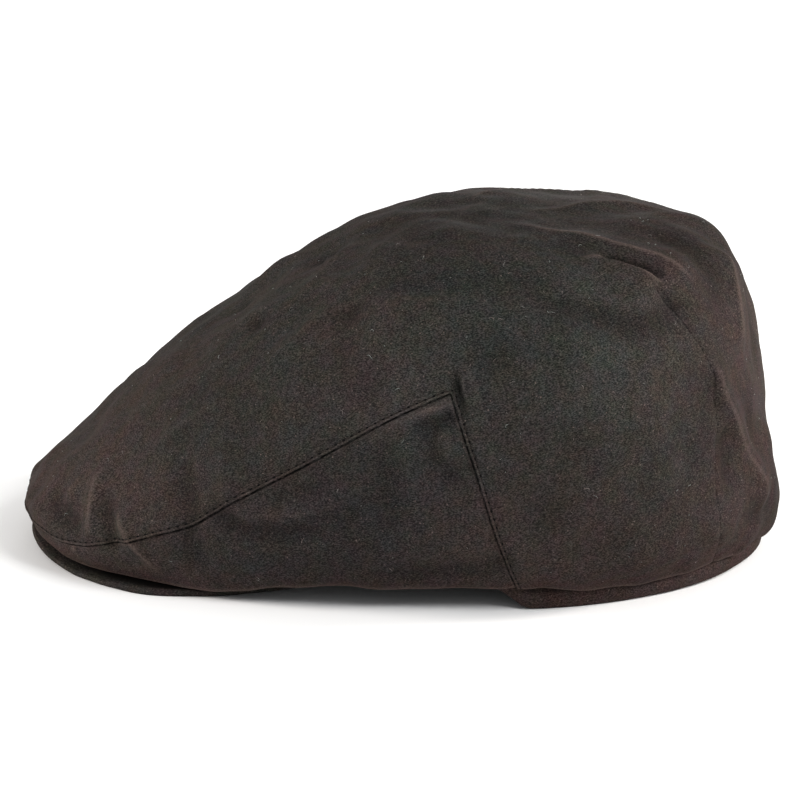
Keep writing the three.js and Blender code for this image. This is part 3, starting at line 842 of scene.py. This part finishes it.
# %% The waxed cotton
def waxed_cotton(name):
    """Dark wax over brown cotton. The tone runs from whole wax, 0, to thin wax, 1; then come pale fibres
    and dark gaps, small tints and specks, and last what the mesh says of each point."""
    material, shader, where = new_material(name)
    patches = where.noise(PATCH, 3, 0.55, 0.4).between(0.36, 0.70)
    clouds = where.stretched(1, 0.7, 1.3).noise(CLOUD, 3, 0.6, 0.6).between(0.36, 0.68)
    fibres = where.stretched(1, 0.6, 1.3, NAP_TILT).noise(FIBRE, 1, 0.6)
    clumps = where.stretched(1, 0.8, 1.2, NAP_TILT).noise(CLUMP, 1, 0.6)
    nap = fibres * 0.78 + clumps * 0.22
    fuzz = where.stretched(1, 1, 0.5).noise(FUZZ, 2, 0.6)
    threads = where.noise(THREADS, 1, 0.6).between(0.35, 0.6)

    tone = patches * 0.25 + clouds * 0.20 + where.attribute("thin_wax") * 0.55 + 0.05
    light = nap.between(0.42, 0.72) * 0.53 + fuzz.between(0.45, 0.8) * 0.08
    colour = light.blend(tone.blend(GREEN_BLACK, BROWN), tone.blend(GREY_FIBRE, RUBBED_FIBRE))
    gaps = 1 - nap.between(0.32, 0.52)
    colour = (gaps * 0.49).blend(colour, NEAR_BLACK)
    red = where.noise(RED_MARK, 4, 0.6).between(0.3, 0.7)
    blue = where.stretched(1.1, 1, 0.9).noise(BLUE_MARK, 4, 0.6).between(0.3, 0.7)
    colour = colour.times(red.blend(GREENER, REDDER)).times(blue.blend(YELLOWER, BLUER))
    specks = where.noise(DOT, 0).between(0.79, 0.84)
    # the specks, then the painted light and shade as a factor on the colour
    colour = (specks * 0.3).blend(colour, SPECK).scaled(where.attribute("pale"))
    colour = colour.times(where.attribute("violet").blend(NO_TINT, VIOLET))

    # painted shade in the hollows of folds and dents, on the peak under the crown's hem, and on the band
    # under the hem
    colour = (where.attribute("hollow") * 0.6).blend(colour, NEAR_BLACK)
    # lighter crests, hem and seams: wear, and on the crests also a painted highlight
    colour = (where.attribute("wear_and_highlight") * (nap * 0.5 + 0.10)).blend(colour, WEAR_AND_HIGHLIGHT_COLOUR)
    crack = 1 - where.attribute("seam").between(0.12, 0.5)
    groove = 1 - abs(where.attribute("dart")).between(0.12, 0.6)
    colour = (crack * (threads * 0.5 + 0.45)).blend(colour, NEAR_BLACK)
    colour = (groove * threads * 0.6).blend(colour, NEAR_BLACK)

    roughness = 0.62 + clouds * 0.10 + nap * 0.12
    height = nap * 0.6 + fuzz * 0.35 + clouds * 0.8
    finish_material(shader, colour, roughness, height, (0.35, 0.25), **FAINT_GLOSS)
    return material


cap_cloth, band_cloth = waxed_cotton("waxed_cotton"), waxed_cotton("band_cloth")
print("cloth nodes:", len(cap_cloth.node_tree.nodes))

# %% [markdown]
# ## Thread, lint and the painted shade of needle holes
#
# The thread is the cloth's brown, twisted from two shades, the lint is pale grey or reddish, and the dark
# spot of painted shade in a needle hole is nearly black. A few pixels show of each, but a flat colour would
# still look like plastic close up. One recipe serves them all: a noise blends two close colours, and
# roughens and dents the surface.

# %% Thread, lint and the painted shade of needle holes
def two_tone(name, size, edges, colours, roughness, bump, specular):
    """Two close colours mixed by a noise, whose size is in mm and whose edges may be sharpened. Roughness
    is a base and what the noise adds, and the bump a strength and a distance in mm."""
    material, shader, where = new_material(name)
    mask = where.noise(size, 1)
    mask = mask.between(*edges) if edges else mask
    base, added = roughness
    finish_material(shader, mask.blend(*colours), base + mask * added, mask, bump,
                    Specular_IOR_Level=specular)
    return material


thread = two_tone("brown_thread", 0.5, None, (srgb(26, 24, 22), srgb(48, 42, 39)),
                  roughness=(0.6, 0.2), bump=(0.4, 0.2), specular=0.05)
lint = two_tone("pale_lint", 8, (0.4, 0.6), (srgb(128, 114, 109), srgb(146, 154, 149)),
                roughness=(0.8, 0.1), bump=(0.1, 0.1), specular=0.5)
hole_shade_material = two_tone("needle_hole_shadow", 0.6, None, (srgb(4, 4, 4), srgb(12, 10, 10)),
                      roughness=(0.9, 0.1), bump=(0.2, 0.1), specular=0.1)
print("materials:", ", ".join(material.name for material in bpy.data.materials))

# %% [markdown]
# ## The top panel
#
# The largest piece of cloth starts at the tip, covers the crown and runs down the back to the hem. Its
# grid is polar: every column is a meridian from the top to the border, so the last row lies exactly on
# the seams and the hem, and the two poles are closed with a fan of triangles.

# %% The top panel
TOP_ROWS, TOP_INNER_ROWS, TOP_SPACING = 146, 12, 1.35
TOP_CLOSE, TOP_CLOSE_ROWS = 0.035, 9  # the last share of the way to the seam, and its finer rows


def row_shares(count, close, close_rows):
    """Shares of the way to the border: even rows, and finer ones over the last small share of it."""
    even = np.linspace(0, 1 - close, count - close_rows + 1)[1:]
    return np.append(even, 1 - close * np.linspace(1, 0, close_rows + 1)[1:])


stops = [-180, -BACK_SEAM_END, -CORNER_ANGLE, 0, CORNER_ANGLE, BACK_SEAM_END, 180]
angles = column_angles(stops, TOP_SPACING)[:-1]
columns = len(angles)
border = border_depth(np.append(angles, 180.0), SEAM_CRACK)[:-1]

share = row_shares(TOP_ROWS, TOP_CLOSE, TOP_CLOSE_ROWS)[:, None]
outer, normal, looks = cloth_point(angles + 0 * share, border * share, 0, raised_edge)
outer, last_normal = outer.reshape(TOP_ROWS, columns, 3), normal[-columns:]
rim = rolled_edge(outer[-1], border_directions(outer[-1], last_normal, closed=True), last_normal, CLOTH)
share = np.linspace(1, 0, TOP_INNER_ROWS + 1)[:-1, None]
inner = cloth_point(angles + 0 * share, border * share, CLOTH, raised_edge)[0]
poles = [cloth_point(np.zeros(1), np.zeros(1), inset, raised_edge)[0] for inset in (0, CLOTH)]

rows = TOP_ROWS + EDGE_ROWS + TOP_INNER_ROWS
points = np.concatenate([part.reshape(-1, 3) for part in (outer, rim, inner, *poles)])
faces = [row_quads(rows, columns), fan(rows * columns, np.arange(columns)),
         fan(rows * columns + 1, np.arange((rows - 1) * columns, rows * columns), inward=True)]
unseen = TOP_INNER_ROWS * columns + len(poles)
for key, values in looks.items():
    on_rim = np.tile(values[-columns:], EDGE_ROWS)
    looks[key] = np.concatenate([values, on_rim, np.full(unseen, PLAIN_LOOKS[key])])
crown_top = make_piece("crown_top", points, faces, cap_cloth, "top_panel", **looks)

# %% [markdown]
# ## The side panels
#
# Each side panel is a long triangle between the seams and the hem. It is a sleeve of cross-sections: down
# the outer face, round the rolled hem, up the inner face and round the rolled seam edge, from the front
# of the cap to where the back seam meets the hem.

# %% The two side panels
SIDE_ROWS, SIDE_INNER_ROWS, SIDE_SPACING = 60, 8, 0.95
SIDE_CLOSE, SIDE_CLOSE_ROWS = 0.04, 6
FRONT_GAP, BACK_GAP = 0.1, 0.35  # degrees from the front centre and from the end of the back seam
SIDE_RUN = 150  # about how much cloth there is from the top to the hem at the side, in mm
SIDE_BOTTOM = 1 - SEAM_CRACK / SIDE_RUN  # depth of the lowest outer row
LEAST_DROP = 0.004  # of depth, between the seam and the hem where they meet


def side_panel(name, node, sign):
    """The panel of one side, 1 for the left and -1 for the right."""
    stops = sorted([sign * FRONT_GAP, sign * CORNER_ANGLE, sign * (BACK_SEAM_END - BACK_GAP)])
    angles = column_angles(stops, SIDE_SPACING)
    top = np.minimum(border_depth(angles, -SEAM_CRACK), SIDE_BOTTOM - LEAST_DROP)

    def face(shares, inset):
        """Rows of the outer or inner face at some shares of the way down, and what the material reads."""
        depth = top + (SIDE_BOTTOM - top) * shares[:, None]
        points, normal, looks = cloth_point(angles + 0 * depth, depth, inset, lower_edge)
        looks = {key: values.reshape(depth.shape) for key, values in looks.items()}
        return points.reshape(*depth.shape, 3), normal.reshape(*depth.shape, 3), looks

    shares = 1 - np.append(row_shares(SIDE_ROWS - 1, SIDE_CLOSE, SIDE_CLOSE_ROWS)[::-1], 0)
    outer, normal, looks = face(shares, 0)
    inner = face(np.linspace(0, 1, SIDE_INNER_ROWS), CLOTH)[0]
    outward = border_directions(outer[-1], normal[-1]), -border_directions(outer[0], normal[0])
    low_rim = rolled_edge(outer[-1], outward[0], normal[-1], CLOTH)
    high_rim = rolled_edge(outer[0], outward[1], normal[0], CLOTH)
    loops = np.concatenate([outer, low_rim, inner[::-1], high_rim[::-1]]).swapaxes(0, 1)
    for key, values in looks.items():
        low, high = (np.tile(values[row], (EDGE_ROWS, 1)) for row in (-1, 0))
        unseen = np.full(inner.shape[:2], PLAIN_LOOKS[key])
        looks[key] = np.concatenate([values, low, unseen, high]).T.ravel()
    return make_piece(name, loops, sleeve(*loops.shape[:2]), cap_cloth, node, **looks)


side_left = side_panel("crown_side_left", "side_panel_left", 1)
side_right = side_panel("crown_side_right", "side_panel_right", -1)

# %% [markdown]
# ## The peak
#
# A peak is a stiff crescent board covered with the cap's cloth. Seen from the side it bends down beside
# the tip until it touches the table. Its edges are given as heights in a table, as in the CAD model, but
# joined by a smooth curve, and its cross-section is a thin plate with a rounded outer edge.

# %% The peak
PEAK_THICKNESS, PEAK_CORNER, PEAK_HOLLOWNESS, SEWN_GAP = 2.1, 60, 2.2, 0.3
PEAK_EDGES = np.array([  # angle, lip beyond the hem, lift of the outer edge, lift of the inner edge
    (0, 1.2, 5, 11), (7, 1.2, 3.4, 10.9), (13, 1.4, 1.1, 10.7), (18, 2.2, 0, 10.4), (24, 4.2, 0, 10.1),
    (30, 4.2, 0, 9.7), (34, -2, 0, 9.4), (41, -12, 1.4, 8.9), (50, -11.5, 5, 8.4), (60, -7.6, 7.6, 8),
])
PEAK_COLUMNS, PEAK_ROWS = 360, 26
PEAK_LUMPS, PEAK_LUMP_SIZE = 0.12, 18  # height and wavelength of the covered board's unevenness
PEAK_ROUNDING = 2.2  # how much further than the cloth's its outer edge stands out
PEAK_SHADE, SHADE_START, SHADE_END = 1.5, 0.90, 0.965
BAND_RING = (BAND_WIDTH / 2, BAND_LENGTH / 2, BAND_LENGTH / 2, 2, 2)


def peak_face(angle, share):
    """The peak's underside: from the band to beyond the hem, sagging with (1 - share) to a power."""
    lip, low, high = (through(PEAK_EDGES[:, [0, column]], np.abs(angle)) for column in (1, 2, 3))
    low = np.maximum(low, 0)
    inner = ring_radius(BAND_RING, angle) + SEWN_GAP
    outer = ring_radius(HEM, angle) + lip
    height = low + (high - low) * (1 - share) ** PEAK_HOLLOWNESS
    return place(angle, inner + (outer - inner) * share, height)


angle = np.linspace(-PEAK_CORNER, PEAK_CORNER, PEAK_COLUMNS)
share = np.linspace(0, 1, PEAK_ROWS)[:, None]
under = peak_face(angle + 0 * share, share + 0 * angle)
across, along = np.gradient(under, axis=0), np.gradient(under, axis=1)
normal = unit(np.cross(across, along))
lumps = waves(under.reshape(-1, 3), PEAK_LUMP_SIZE, 11).reshape(under.shape[:2])
upper = under + normal * (PEAK_THICKNESS + PEAK_LUMPS * lumps)[..., None]
out_edge = rolled_edge(upper[-1], unit(across[-1]) * PEAK_ROUNDING, normal[-1], PEAK_THICKNESS)
in_edge = rolled_edge(under[0], -unit(across[0]), -normal[0], PEAK_THICKNESS)
loops = np.concatenate([upper, out_edge, under[::-1], in_edge]).swapaxes(0, 1)
shaded = np.zeros(loops.shape[1])  # painted shade on the peak where the crown's hem lies over it
shaded[:PEAK_ROWS] = falling(share[:, 0], SHADE_START, SHADE_END) * PEAK_SHADE
looks = plain_looks(loops.shape[:2], hollow=shaded)
peak = make_piece("peak_cover", loops, sleeve(*loops.shape[:2]), cap_cloth, "peak", **looks)

# %% [markdown]
# ## The band
#
# The band is a strip of the same cloth folded lengthwise, sewn inside the hem all round the opening. Only
# its lower fold shows, as a soft roll under the back of the cap. It is one closed ring of rounded
# cross-sections that bulges a little where it shows.

# %% The band
BAND_HEIGHT, BAND_THICKNESS, BAND_COLUMNS, BAND_ROWS, BAND_FOLD_ROWS = 13.0, 2.0, 560, 22, 7
BAND_EDGE = np.array([  # angle, lift of the lower edge
    (0, 10), (30, 9), (60, 9), (86, 9), (90.5, 7.4), (94, 4.0), (96.5, 1.2), (101, 0), (108, 0), (115, 0.1),
    (150, 1), (180, 2),
])
BAND_SWELL, SWELL_PLACE, SWELL_WIDTH = 0.55, 0.78, 0.2  # mm, and shares of the way down the outer face
BAND_LUMPS, BAND_LUMP_SIZE = 0.18, 26
BAND_SHADE, BAND_SHADE_START, BAND_SHADE_END = 0.9, 0.50, 0.60
BAND_THIN_WAX, BAND_PALE = 1.5, 0.9
UP = np.array([0, 0, BAND_THICKNESS / 2])


def half_round(first, last, way):
    """Rows from one edge to the other: their middle + half their offset * cos(turn) + a way * sin(turn)."""
    turn = np.linspace(0, np.pi, BAND_FOLD_ROWS + 2)[1:-1, None, None]
    return (first + last) / 2 + (first - last) / 2 * np.cos(turn) + way * np.sin(turn)


def band_loops():
    """Cross-sections: down the outer face, round the lower fold, up the inner face, round the top."""
    angle = wrapped(np.linspace(0, 360, BAND_COLUMNS + 1)[:-1])
    low = np.maximum(through(BAND_EDGE, np.abs(angle)), 0)
    share = np.linspace(0, 1, BAND_ROWS)[:, None]
    radius = ring_radius(BAND_RING, angle)
    height = low + BAND_THICKNESS / 2 + (BAND_HEIGHT - BAND_THICKNESS) * (1 - share)
    lumps = BAND_LUMPS * waves(place(angle, radius, 0 * angle), BAND_LUMP_SIZE, 21)
    swell = BAND_SWELL * bell(share, SWELL_PLACE, SWELL_WIDTH)
    outer = place(angle, radius + swell + lumps * share, height)
    inner = place(angle, radius - BAND_THICKNESS + 0 * share, height)
    lower, upper = half_round(outer[-1], inner[-1], -UP), half_round(inner[0], outer[0], UP)
    return np.concatenate([outer, lower, inner[::-1], upper]).swapaxes(0, 1)


loops = band_loops()
size = loops.shape[1]
faces = [sleeve(BAND_COLUMNS + 1, size)[0] % (BAND_COLUMNS * size)]  # the last ring is the first again
shaded = np.zeros(size)  # painted shadow in the crack where the band comes out from under the hem
shaded[:BAND_ROWS] = BAND_SHADE * falling(np.linspace(0, 1, BAND_ROWS), BAND_SHADE_START, BAND_SHADE_END)
looks = plain_looks(loops.shape[:2], thin_wax=BAND_THIN_WAX, pale=BAND_PALE, hollow=shaded)
band = make_piece("head_band_roll", loops, faces, band_cloth, "head_band", **looks)

# %% [markdown]
# ## Stitches
#
# The seams are topstitched with a thread of the cloth's own colour, about three millimetres a stitch, and
# the shade in each needle hole is painted as a dark dot. Stitches could be a bump in the material, but they
# would vanish from the side. Each is a small spindle instead, placed by arrays along a row that lies beside
# the seam, so that several hundred stitches are one light mesh.

# %% A small spindle, and copies of a small shape
STITCH_PITCH, STITCH_LENGTH, THREAD_RADIUS = 3.1, 2.3, 0.20
ROW_START, ROW_END = 1.5, 2  # mm left free at the row's ends
HOLE_SIZE = (1.1, 0.34, 0.14)
STITCH_LIFT, HOLE_LIFT = 0.05, 0.08  # of the centres, above the cloth
LAST_RING = 0.42  # where a spindle's last ring is, with its end at 0.5


def spindle(rings=4, around=6):
    """A small spindle of length 1 and radius 1 along x: rings scaled by sqrt(1 - (2x)^2), and two ends."""
    x = np.linspace(-LAST_RING, LAST_RING, rings)[:, None]
    turn = np.linspace(0, 2 * np.pi, around, endpoint=False)
    radius = np.sqrt(1 - (2 * x) ** 2)
    shell = np.stack([x + 0 * turn, radius * np.cos(turn), radius * np.sin(turn)], axis=-1).reshape(-1, 3)
    points = np.append(shell, [[-0.5, 0, 0], [0.5, 0, 0]], axis=0)
    count = rings * around
    ends = [fan(count, np.arange(around))[:, ::-1], fan(count + 1, np.arange(count - around, count))]
    return points, [np.roll(row_quads(rings, around), -1, axis=1), *ends]


def copied(faces, copies, size):
    """The faces of many copies of a shape whose points are numbered one copy after the other."""
    shift = (np.arange(copies) * size)[:, None, None]
    return [(group[None] + shift).reshape(-1, group.shape[1]) for group in faces]


def spindles(centres, along, side, up, scale):
    """A spindle at each centre: centre + along * x + side * y + up * z for each of its points."""
    points, faces = spindle()
    axes = np.stack([direction * factor for direction, factor in zip((along, side, up), scale)], axis=1)
    placed = centres[:, None] + np.einsum("pk,nkj->npj", points, axes)
    return placed, copied(faces, len(centres), len(points))


print("a spindle has", len(spindle()[0]), "points")

# %% Stitches, and the painted shade of needle holes
NEARBY = 0.6  # mm to each side of a stitch, to find its direction


def on_cloth(line, normal, edge):
    """Points near the smooth crown lifted onto the finished cloth."""
    seam = np.abs(distance_to(line, normal, SEAMS))
    lift = fold_lift(line, normal)[0] + crumple(line) + edge(seam)
    return line + normal * lift[:, None]


def stitch_row(sign):
    """Centres, directions and normals of the stitches beside one side's seams, and the holes' centres."""
    line, normal = (of(sign * seam_angles, seam_depth(seam_angles)) for of in (smooth_crown, crown_normal))
    row = line - border_directions(line, normal) * sign * STITCH_ROW
    way = travelled(row)

    def pick(values, at):
        """The values at some distances along the row."""
        return np.stack([np.interp(at, way, column) for column in values.T], axis=-1)

    middles = np.arange(ROW_START, way[-1] - ROW_END, STITCH_PITCH)
    normals = unit(pick(normal, middles))
    ahead = unit(pick(row, middles + NEARBY) - pick(row, middles - NEARBY))
    stitches, holes = (on_cloth(pick(row, at), normals, raised_edge)
                       for at in (middles, middles + STITCH_PITCH / 2))
    return stitches, ahead, normals, holes


stitch_rows = [stitch_row(sign) for sign in (1, -1)]
centres, ahead, normals, holes = (np.concatenate(parts) for parts in zip(*stitch_rows))
axes = ahead, np.cross(normals, ahead), normals
stitch_size = (STITCH_LENGTH, THREAD_RADIUS, THREAD_RADIUS)
make_piece("seam_stitches", *spindles(centres + normals * STITCH_LIFT, *axes, stitch_size), thread)
# dark flattened spindles between the stitches: painted shade in the needle holes
make_piece("needle_hole_shades", *spindles(holes + normals * HOLE_LIFT, *axes, HOLE_SIZE), hole_shade_material)
print(len(centres), "stitches")

# %% [markdown]
# ## Lint
#
# Waxed cloth is tacky and picks up short pale fibres. They are few but catch the eye, so they are real
# geometry: thin three-sided tubes, each bent into a curl that lies on the cloth.

# %% Lint on the cloth
LINT_COUNT, LINT_RADIUS, LINT_STEPS, LINT_SIDES, LINT_LIFT = 420, 0.05, 7, 3, 0.08
SHORTEST, LONGEST_EXTRA = 0.5, 2.4  # mm
LINT_DEPTHS, BENDS, HUMPS = (0.12, 0.97), (0.4, 3.6), (0.05, 0.5)  # depth, radians, mm
THINNING = 0.6  # of the radius, at a fibre's ends
SEAM_CLEARANCE = 0.03  # of depth: no fibre lies across a seam


def lint_fibres():
    """Each fibre is an arc in the cloth's plane: centre + r (sin t, 1 - cos t), humped up in its middle."""
    rng = np.random.default_rng(77)
    angle = rng.uniform(-180, 180, LINT_COUNT)
    depth = rng.uniform(*LINT_DEPTHS, LINT_COUNT)
    on_seam = np.abs(seam_depth(angle) - depth) < SEAM_CLEARANCE
    depth = np.where(on_seam, depth - 2 * SEAM_CLEARANCE, depth)
    normal = crown_normal(angle, depth)
    base = on_cloth(smooth_crown(angle, depth), normal, no_edge)
    heading = unit(np.cross(normal, rng.normal(size=(LINT_COUNT, 3))))
    side = np.cross(normal, heading)
    length = (SHORTEST + LONGEST_EXTRA * rng.uniform(0, 1, LINT_COUNT) ** 4)[:, None, None]
    bend = (rng.uniform(*BENDS, LINT_COUNT) * rng.choice([-1, 1], LINT_COUNT))[:, None, None]
    u = np.linspace(-0.5, 0.5, LINT_STEPS)[None, :, None]
    hump = rng.uniform(*HUMPS, LINT_COUNT)[:, None, None] * (1 - (2 * u) ** 2) + LINT_LIFT
    reach = length / bend
    line = (base[:, None] + heading[:, None] * reach * np.sin(bend * u)
            + side[:, None] * reach * (1 - np.cos(bend * u)) + normal[:, None] * hump)
    along = unit(np.gradient(line, axis=1))
    across = unit(np.cross(along, normal[:, None]))
    up = np.cross(across, along)
    turn = np.linspace(0, 2 * np.pi, LINT_SIDES, endpoint=False)[:, None]
    taper = LINT_RADIUS * (1 - THINNING * (2 * np.abs(u[..., None])) ** 2)
    tube = line[:, :, None] + taper * (across[:, :, None] * np.cos(turn) + up[:, :, None] * np.sin(turn))
    return tube, copied(sleeve(LINT_STEPS, LINT_SIDES), LINT_COUNT, LINT_STEPS * LINT_SIDES)


make_piece("lint_fibres", *lint_fibres(), lint)

# %% [markdown]
# ## The studio
#
# The photograph is a plain product picture: a white table, large soft lights and a long lens at the cap's
# side, a little above it. The camera's place is worked out from how the cap's length, hem and opening
# appear, and the lights are broad so that only contact shadows are left on the table.

# %% The table
TABLE_SIZE = 12
table_white = two_tone("white_table", 60, (0.3, 0.7), ((0.90, 0.90, 0.90, 1), (0.93, 0.93, 0.93, 1)),
                       roughness=(0.9, 0.05), bump=(0.0, 0.1), specular=0.1)
bpy.ops.mesh.primitive_plane_add(size=TABLE_SIZE, location=(0, 0, 0))
floor = bpy.context.object
floor.name = "studio_table"
floor.data.materials.append(table_white)
print("table", TABLE_SIZE, "m across")

# %% The sky round the studio, and the lights
SKY_COLOUR, HORIZON, ZENITH = (0.97, 0.985, 1.0, 1), 0.5, 0.6
SKYLINE = 0.1  # how high, from 0 to 1, the sky starts to brighten
LIGHT_TARGET = (0, 0, 0.05)
SOFTBOXES = {  # place and diameter in m, power in W, colour
    "key": ((0.9, 1.0, 1.2), 0.8, 21, (1.0, 1.0, 1.0)),
    "beyond_the_cap": ((-1.7, 0.2, 0.32), 0.5, 4, (1.0, 0.98, 0.96)),
    "beyond_the_peak": ((0.0, -1.65, 0.5), 0.5, 30, (1.0, 0.95, 0.9)),
    "behind_the_back": ((-0.2, 1.65, 0.6), 0.4, 32, (1.0, 0.95, 0.9)),
}
scene = bpy.context.scene
scene.view_settings.view_transform = "Standard"
scene.world = bpy.data.worlds.new("studio")
scene.world.use_nodes = True
background = scene.world.node_tree.nodes["Background"]
background.inputs["Color"].default_value = SKY_COLOUR
sky = Formula(scene.world.node_tree)
direction = sky.node("ShaderNodeTexCoord", output="Generated")
upward = sky.node("ShaderNodeSeparateXYZ", {}, {"Vector": direction}, output="Z")
strength = upward.between(SKYLINE, 1.0) * (ZENITH - HORIZON) + HORIZON
sky.tree.links.new(strength.socket, background.inputs["Strength"])


def aimed(name, data, place_at, direction):
    """A light or a camera at a place in m, turned so that it looks along a direction."""
    made = bpy.data.objects.new(name, data)
    made.location = place_at
    made.rotation_euler = Vector(direction).to_track_quat("-Z", "Y").to_euler()
    scene.collection.objects.link(made)
    return made


for name, (place_at, size, power, colour) in SOFTBOXES.items():
    data = bpy.data.lights.new(name, "AREA")
    data.shape, data.size, data.energy, data.color = "DISK", size, power, colour
    aimed(name, data, place_at, np.array(LIGHT_TARGET) - np.array(place_at))
print(len(SOFTBOXES), "softboxes")

# %% The camera
CAMERA_DISTANCE, CAMERA_ELEVATION, PIXELS_PER_MM = 1250.0, 16.0, 2.77
TARGET = np.array([0, -0.5, 51.0])
SENSOR, IMAGE_SIZE = 36.0, 800
tilt = np.radians(CAMERA_ELEVATION)
eye = TARGET + CAMERA_DISTANCE * np.array([np.cos(tilt), 0, np.sin(tilt)])
lens = bpy.data.cameras.new("camera")
lens.sensor_width = SENSOR
lens.lens = SENSOR * PIXELS_PER_MM * CAMERA_DISTANCE / IMAGE_SIZE
scene.camera = aimed("camera", lens, eye * MM, TARGET - eye)
print(f"lens {lens.lens:.1f} mm, camera at", np.round(eye * MM, 3))
